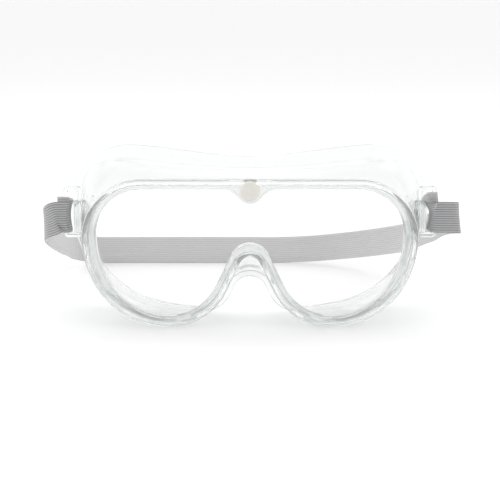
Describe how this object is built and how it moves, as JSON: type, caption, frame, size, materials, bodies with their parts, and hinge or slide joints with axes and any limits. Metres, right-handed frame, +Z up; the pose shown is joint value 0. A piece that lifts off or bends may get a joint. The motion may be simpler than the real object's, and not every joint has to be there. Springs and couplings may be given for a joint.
{
  "type": "safety goggles",
  "caption": "Clear soft-framed splash goggles with a flat lens, a brow stud and a ribbed elastic headband on two swivelling strap rings.",
  "frame": {"origin": "on the surface that the goggles stand on, in the middle of the ground they cover, in the goggles' mirror plane", "axes": "+X to the right seen from the front, +Y from the lens back to the headband, +Z up from the surface to the brow"},
  "size_m": [0.212, 0.1454, 0.086],
  "materials": {
    "soft_vinyl": "clear soft vinyl, glossy, faint green tint in the thick edges",
    "lens": "clear polycarbonate, polished",
    "stud": "natural nylon, matt and milky",
    "ring": "clear rigid moulding, glossy",
    "webbing": "grey elastic webbing with fine lengthwise ribs"
  },
  "bodies": {
    "root": {"goggle_frame": "soft_vinyl", "lens": "lens", "lens_stud": "stud", "stud_cap": "stud", "headband": "webbing", "left_strap_bend": "webbing", "right_strap_bend": "webbing"},
    "left_ring": {"left_buckle": "ring", "left_strap_loop": "webbing"},
    "right_ring": {"right_buckle": "ring", "right_strap_loop": "webbing"}
  },
  "joints": [
    {"name": "left_ring_swivel", "type": "hinge", "parent": "root", "child": "left_ring", "pos_m": [-0.0859, -0.04435, 0.0533], "axis": [0, 0, -1], "range_deg": [-60, 55], "deforming": ["left_strap_bend"]},
    {"name": "right_ring_swivel", "type": "hinge", "parent": "root", "child": "right_ring", "pos_m": [0.0859, -0.04435, 0.0533], "axis": [0, 0, 1], "range_deg": [-60, 55], "deforming": ["right_strap_bend"]}
  ]
}
